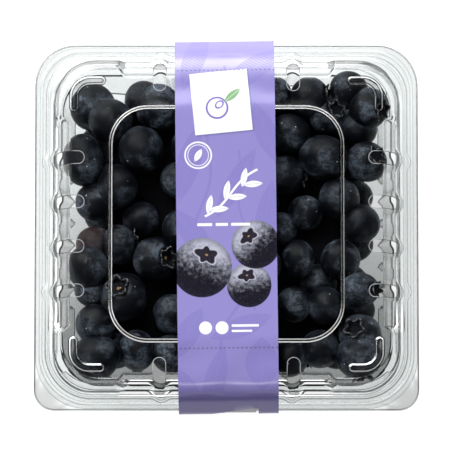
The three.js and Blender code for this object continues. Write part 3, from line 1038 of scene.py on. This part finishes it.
def copy_to(model, name, matrix, marks=None):
    """A copy with its own mesh, carried by the matrix, with its attributes set."""
    mesh = model.data.copy()
    mesh.transform(matrix)
    for key, value in (marks or {}).items():
        layer = mesh.attributes.new(key, "FLOAT", "POINT")
        layer.data.foreach_set("value", [value] * len(mesh.vertices))
    piece = bpy.data.objects.new(name, mesh)
    SCENE.collection.objects.link(piece)
    return piece


def stretch(x, y, z=1):
    return Matrix.Diagonal((x, y, z, 1))


fruit, crowns = [], []
for number, (x, y, z, r) in enumerate(berries):
    away = (chance.gauss(0, 1), chance.gauss(0, 1), -abs(chance.gauss(0, 1.2)))
    look = Vector(CROWNS.get(number, away))
    turn = look.to_track_quat("Z", "Y").to_matrix().to_4x4()
    spin = Matrix.Rotation(chance.uniform(0, math.tau), 4, "Z")
    uneven = stretch(chance.uniform(0.99, 1.06), chance.uniform(0.99, 1.06),
                     chance.uniform(0.99, 1.08))
    drawn = stretch(*DRAWN_OUT.get(number, (1, 1)))
    place_and_size = Matrix.Translation(Vector((x, y, z)) * MM) @ Matrix.Scale(r * MM, 4)
    matrix = place_and_size @ drawn @ turn @ uneven @ spin
    # Painted shade: the bloom share is lowered by up to 30 per cent on the pack's right side, which
    # lies away from the light, so those berries are painted darker.
    bloom_and_shade_share = chance.uniform(0.3, 1.05) * (1 - 0.3 * smooth(x / 30))
    marks = {"bloom": bloom_and_shade_share, "brown": BROWN.get(number, 0.0),
             "scar": 1.0 if number in SCARS else 0.0}
    fruit.append(copy_to(berry_model, "fruit", matrix, marks))
    if look.z > -0.3 * look.length:
        crowns.append(copy_to(crown_model, "crowns", matrix))

for pieces, name, finish in ((fruit, "fruit", berry_skin), (crowns, "crowns", dry_crown)):
    only(*pieces)
    bpy.ops.object.join()
    joined = pieces[0]
    joined.name = joined.data.name = name
    joined.data.materials.clear()
    joined.data.materials.append(finish)
    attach(joined, "root")
    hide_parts("berries")
    print(name + ":", triangles(joined), "triangles")
for model in (berry_model, crown_model):
    bpy.data.objects.remove(model)

# %% The dark middle of the heap
# Painted shade: a near-black box fills the middle of the heap, standing in for the shade between
# the berries deep down.
CORE = {"size": (78, 74, 17), "middle": 12, "round": 6}
core = start("heap_core", bpy.ops.mesh.primitive_cube_add, size=1)
edit(core)
bpy.ops.transform.resize(value=[side * MM for side in CORE["size"]])
bpy.ops.transform.translate(value=(0, 0, CORE["middle"] * MM))
bpy.ops.mesh.bevel(offset=CORE["round"] * MM, segments=4, affect="EDGES")
leave()
settle(core)
core.data.materials.append(deep_shade)
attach(core, "root")
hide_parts("berries")

# %% [markdown]
# ## Print on the paper
#
# The band is printed lilac, with large faint leaves in a slightly deeper lilac, a blank
# white label with a leaf on it, a ring, a white sprig, three bloomed berries, two discs and
# short rules. Each is a plain shape, so each is a mask reckoned from the place on the
# paper: u runs across the band and v along it, in millimetres, square to the band itself.

# %% Masks for the print
printed_paper, tree, place = new_finish("printed_paper")
TURN = math.radians(0.7)
on_band = place.add("ShaderNodeMapping", {"Vector": place, "Rotation": (0, 0, -TURN),
                                          "Scale": (1000, 1000, 1000)})
u, v, w = [on_band.add("ShaderNodeSeparateXYZ", {0: on_band}, out=axis) for axis in "XYZ"]


def turned(cx, cy, angle):
    """The place on the paper, reckoned from a centre and turned by an angle."""
    c, s = math.cos(math.radians(angle)), math.sin(math.radians(angle))
    du, dv = u - cx, v - cy
    return du * c + dv * s, dv * c - du * s


def size_of(a):
    return a.math("ABSOLUTE", a)


def within(distance, edge, soft=0.12):
    """1 where the distance is below the edge, 0 beyond it."""
    return distance.ramp(edge - soft, edge + soft, 1.0, 0.0)


def from_centre(cx, cy, wide=1.0, angle=0.0):
    a, b = turned(cx, cy, angle)
    return (a * a / (wide * wide) + b * b) ** 0.5


def box(cx, cy, half_u, half_v, angle=0.0, soft=0.12):
    a, b = turned(cx, cy, angle)
    return within(size_of(a), half_u, soft) * within(size_of(b), half_v, soft)


def leaf(cx, cy, length, width, angle, soft=0.12):
    """A pointed leaf with its vein left out."""
    a, b = turned(cx, cy, angle)
    edge = width * (1 - a * a / (length * length))
    return within(size_of(b) - edge, 0, soft) * (1 - 0.7 * within(size_of(b), 0.07, 0.1))


def wavy_line(cx, cy, half, angle, sway, pitch, width):
    """A drawn line that sways from side to side."""
    a, b = turned(cx, cy, angle)
    swing = (a * (math.tau / pitch)).math("SINE", a * (math.tau / pitch)) * sway
    return within(size_of(b - swing), width, 0.12) * within(size_of(a), half)


def highest(masks):
    top = masks[0]
    for mask in masks[1:]:
        top = top.math("MAXIMUM", top, mask)
    return top


# %% The printed berries
def printed_berry(colour, cx, cy, radius, crown):
    """Paints one round berry over a colour: pale above, nearly black below."""
    a, b = turned(cx, cy, crown)
    away = from_centre(cx, cy)
    bloom = place.noise(900.0, 5.0, 0.65)
    shade = (b / radius + (bloom - 0.5) * 1.9).ramp(-0.35, 0.95)
    skin = mix_colour(shade, (0.003, 0.0025, 0.006), (0.40, 0.41, 0.50))
    skin = mix_colour(away.ramp(0.75 * radius, radius) * 0.5, skin, (0.01, 0.009, 0.02))
    side, up = a, b - 0.45 * radius
    spread = (side * side + up * up * 2.2) ** 0.5
    ray = up.math("ARCTAN2", up, side)
    points = (ray * 5).math("COSINE", ray * 5) * (0.07 * radius) + spread
    skin = mix_colour(within(points, 0.42 * radius, 0.14), skin, (0.42, 0.42, 0.50))
    skin = mix_colour(within(points, 0.36 * radius, 0.3), skin, (0.012, 0.01, 0.015))
    skin = mix_colour(within(spread, 0.05 * radius, 0.1), skin, (0.30, 0.18, 0.10))
    return mix_colour(within(away, radius, 0.12), colour, skin)


# %% Lay out the print
LILAC, DEEP_LILAC = (0.232, 0.204, 0.475), (0.180, 0.155, 0.425)
WHITE = (0.80, 0.80, 0.82)
# Faint leaves: where, how long, how wide and how turned.
LEAVES = [(-9, 50, 11, 3.4, 70), (8, 46, 12, 3.6, 35), (12, 27, 10, 3.2, 110),
          (-11, 18, 12, 3.5, 75), (3, 12, 12, 3.0, 60), (-10, -3, 10, 3.4, 130),
          (12, 2, 11, 3.2, 80), (-12, -33, 9, 3.4, 60), (4, -31, 10, 3.0, 20),
          (10, -42, 8, 5.0, 90), (-4, -47, 11, 3.2, 75), (-12, -50, 7, 3.0, 110)]
# Their stems: where, half the length, turn, sway, its pitch and half the width.
STEMS = [(-5, 22, 26, 82, 1.5, 34, 0.45), (6, -2, 24, 98, 1.2, 30, 0.35),
         (-2, -40, 20, 74, 1.6, 28, 0.5)]
SPRIG = [(-5.0, 5.6), (-2.2, 4.2), (0.2, 9.9), (3.2, 7.8), (5.4, 13.6), (8.0, 11.6)]
faint = highest([leaf(*row) for row in LEAVES] + [wavy_line(*row) for row in STEMS])
hatch = (u * 0.55 + v) * 7.0
faint = faint * (0.6 + 0.25 * hatch.math("SINE", hatch))
# Painted shade: the front flap is printed much deeper and the back slope a little deeper, and a
# painted highlight lies pale along the fold before the back slope.
print_colour = mix_colour(v.ramp(-49.0, -52.0, 0.0, 0.95), LILAC, (0.12, 0.10, 0.27))
print_colour = mix_colour(v.ramp(49.8, 50.8, 0.0, 0.12), print_colour, (0.07, 0.06, 0.16))
print_colour = mix_colour(0.2 * within(size_of(v - 48.2), 1.6, 0.8), print_colour, WHITE)
print_colour = mix_colour(faint * 0.9, print_colour, DEEP_LILAC, "DARKEN")

for row in ((6.5, -18.6, 6.6, 12), (-7.4, -13.2, 8.9, -20), (8.6, -6.5, 7.2, 40)):
    print_colour = printed_berry(print_colour, *row)

label = (-1.2, 36.4, 8.6, 9.3, 5)
shadow = box(label[0] + 0.35, label[1] - 0.4, *label[2:4], label[4], 0.5)
print_colour = mix_colour(0.6 * shadow, print_colour, (0.07, 0.06, 0.16))
print_colour = mix_colour(box(*label), print_colour, (0.80, 0.80, 0.81))
berry_line = within(size_of(from_centre(-2.4, 34.6) - 3.1), 0.28)
star_line = within(size_of(from_centre(-1.7, 35.6, 1.4, 40) - 0.9), 0.2)
print_colour = mix_colour(highest([berry_line, star_line]), print_colour, (0.16, 0.12, 0.42))
print_colour = mix_colour(leaf(2.2, 38.4, 3.2, 1.1, 40), print_colour, (0.18, 0.36, 0.16))

ring_distance = from_centre(-8.2, 20.4)
white = [within(size_of(ring_distance - 3.9), 0.22), within(size_of(ring_distance - 3.1), 0.1),
         leaf(-8.2, 20.4, 2.2, 0.9, 60)]
white.append(wavy_line(1.5, 9.0, 10.5, 38, 1.1, 26, 0.32))
for i, (across, along) in enumerate(SPRIG):
    white.append(leaf(across, along, 3.0, 0.95, 78 if i % 2 == 0 else 4))
white += [box(x, -0.4, half, 0.42) for x, half in ((-6.5, 2.2), (-1.4, 1.8), (4.2, 2.8))]
white += [within(from_centre(x, -31.2), 1.9) for x in (-6.6, -1.7)]
white += [box(5.2, -30.6, 4.0, 0.35), box(4.2, -32.2, 3.0, 0.3)]
print_colour = mix_colour(highest(white), print_colour, WHITE)

dashes = (u * (math.tau / 1.3)).math("SINE", u * (math.tau / 1.3)).ramp(-0.1, 0.1)
cuts = highest([within(size_of(v - place_of_cut), 0.14) for place_of_cut in (46.1, -37.2)])
print_colour = mix_colour(dashes * cuts * 0.8, print_colour, (0.05, 0.045, 0.12))
print_colour = mix_colour(within(w, 24.4, 0.05), print_colour, LILAC)
fibre = place.noise(1200.0)
print_colour = mix_colour(0.03 * fibre, print_colour, (0.5, 0.48, 0.7))
paint(tree, print_colour, 0.17, {"Specular IOR Level": 0.5, "Normal": fibre.bump(0.1, 0.0001)})

# %% Unprinted side of the paper
plain_paper, tree, place = new_finish("plain_paper")
paint(tree, mix_colour(place.noise(900.0), (0.78, 0.77, 0.80), (0.88, 0.87, 0.89)), 0.7)

# %% [markdown]
# ## The paper band
#
# A strip of coated paper runs round the pack, over the lid's edges and the flange. One edge
# of a plane is cut into many, extruded from fold to fold right round and merged where it
# meets itself. The paper droops a little beside the lid's ridge, the folds are round, and a
# slanting nick is cut from the front fold, where the pale end underneath shows.

# %% Fold the band
BAND = {"width": 29.8, "sheet": 0.3, "columns": 24}
DROOP = {"depth": 0.3, "at": 40, "reach": 3.2}
WAVE = {"height": 0.12, "from": 36, "reach": 6}
# The path from the middle of the lid round the back to the middle of the floor.
FOLDS = [(0, 36.1), (34.9, 36.1), (43.6, 35.25), (48.8, 34.5), (52.4, 31.6), (55.8, 27.0),
         (56.1, 25.3), (55.5, 24.0), (47.3, 1.5), (45.6, 0.72), (0, 0.72)]
FOLD_REACH = [0, 1.4, 2.0, 2.2, 2.0, 0.8, 0.6, 0.6, 0.8, 0.8, 0]


def rounded_path(points, reaches, steps=6):
    """Replaces each corner of a path with a small arc."""
    out = [Vector(points[0])]
    for i in range(1, len(points) - 1):
        before, here, after = [Vector(p) for p in points[i - 1:i + 2]]
        first = here + (before - here).normalized() * reaches[i]
        last = here + (after - here).normalized() * reaches[i]
        for k in range(steps + 1):
            t = k / steps
            out.append(first.lerp(here, t).lerp(here.lerp(last, t), t))
    return out + [Vector(points[-1])]


half_path = rounded_path(FOLDS, FOLD_REACH)
band_path = [Vector((-y, z)) for y, z in half_path[::-1]] + half_path[1:]
band_path += [Vector((0, 0.72))]
band = start("paper_band", bpy.ops.mesh.primitive_plane_add, size=1)
edit(band)
bpy.ops.transform.resize(value=(BAND["width"] * MM, 1, 1))
pick(band, "verts", lambda vert: vert.co.y > 0)
bpy.ops.mesh.delete(type="VERT")
bpy.ops.mesh.select_all(action="SELECT")
first = band_path[0]
bpy.ops.transform.translate(value=(0, 0.5 + first.x * MM, first.y * MM))
bpy.ops.mesh.subdivide(number_cuts=BAND["columns"] - 1)
for here, there in zip(band_path, band_path[1:]):
    step = there - here
    if step.length > 1e-4:
        parts = max(1, round(step.length / 2))
        move = {"value": (0, *(step * MM / parts))}
        for _ in range(parts):
            bpy.ops.mesh.extrude_edges_move(TRANSFORM_OT_translate=move)
bpy.ops.mesh.select_all(action="SELECT")
bpy.ops.mesh.remove_doubles(threshold=1e-5)
bpy.ops.mesh.normals_make_consistent(inside=False)
for vert in bmesh.from_edit_mesh(band.data).verts:
    x, y = vert.co.x / MM, abs(vert.co.y) / MM
    if vert.co.z > 33 * MM:
        edge_share = (abs(x) / (BAND["width"] / 2)) ** 2
        near_ridge = math.exp(-((y - DROOP["at"]) / DROOP["reach"]) ** 2)
        wave = math.sin(x * 0.35 + y * 0.21) * smooth((y - WAVE["from"]) / WAVE["reach"])
        droop = DROOP["depth"] * edge_share * near_ridge
        vert.co.z += (WAVE["height"] * wave - droop) * MM
leave()
modify(band, "SOLIDIFY", thickness=BAND["sheet"] * MM, offset=0)
print("band:", triangles(band), "triangles")

# %% Nick the front fold
# The nick's three corners, its height, and the size, slope and place of the end below it.
NICK = {"corners": [(-8.9, -56.6), (8.9, -56.6), (8.9, -54.6)], "z": 23.6}
UNDER_END = {"size": (11, 1.6, 0.25), "slope": 38, "place": (3.4, -55.05, 26.2)}
nick = start("nick", bpy.ops.mesh.primitive_cylinder_add, vertices=3, radius=1, depth=10 * MM)
edit(nick)
for vert in bmesh.from_edit_mesh(nick.data).verts:
    number = round((math.atan2(vert.co.y, vert.co.x) % math.tau) / (math.tau / 3))
    vert.co.x, vert.co.y = Vector(NICK["corners"][number % 3]) * MM
bmesh.update_edit_mesh(nick.data)
bpy.ops.mesh.select_all(action="SELECT")
bpy.ops.transform.translate(value=(0, 0, NICK["z"] * MM))
leave()
edit(band)
bpy.ops.mesh.select_all(action="SELECT")
bpy.ops.mesh.normals_make_consistent(inside=False)
leave()
modify(band, "BOOLEAN", object=nick, operation="DIFFERENCE", solver="EXACT")
bpy.data.objects.remove(nick)
band.rotation_euler.z = TURN
settle(band)
band.data.materials.clear()
band.data.materials.append(printed_paper)
under_end = start("under_end", bpy.ops.mesh.primitive_cube_add, size=1)
edit(under_end)
bpy.ops.transform.resize(value=[side * MM for side in UNDER_END["size"]])
bpy.ops.transform.rotate(value=-math.radians(UNDER_END["slope"]), orient_axis="X",
                         center_override=(0, 0, 0))
bpy.ops.transform.translate(value=[side * MM for side in UNDER_END["place"]])
leave()
settle(under_end)
under_end.data.materials.append(plain_paper)
only(band, under_end)
bpy.ops.object.join()
only(band)
bpy.ops.object.shade_smooth_by_angle(angle=math.radians(40))
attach(band, "root")
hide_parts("band")
print("band:", triangles(band), "triangles")
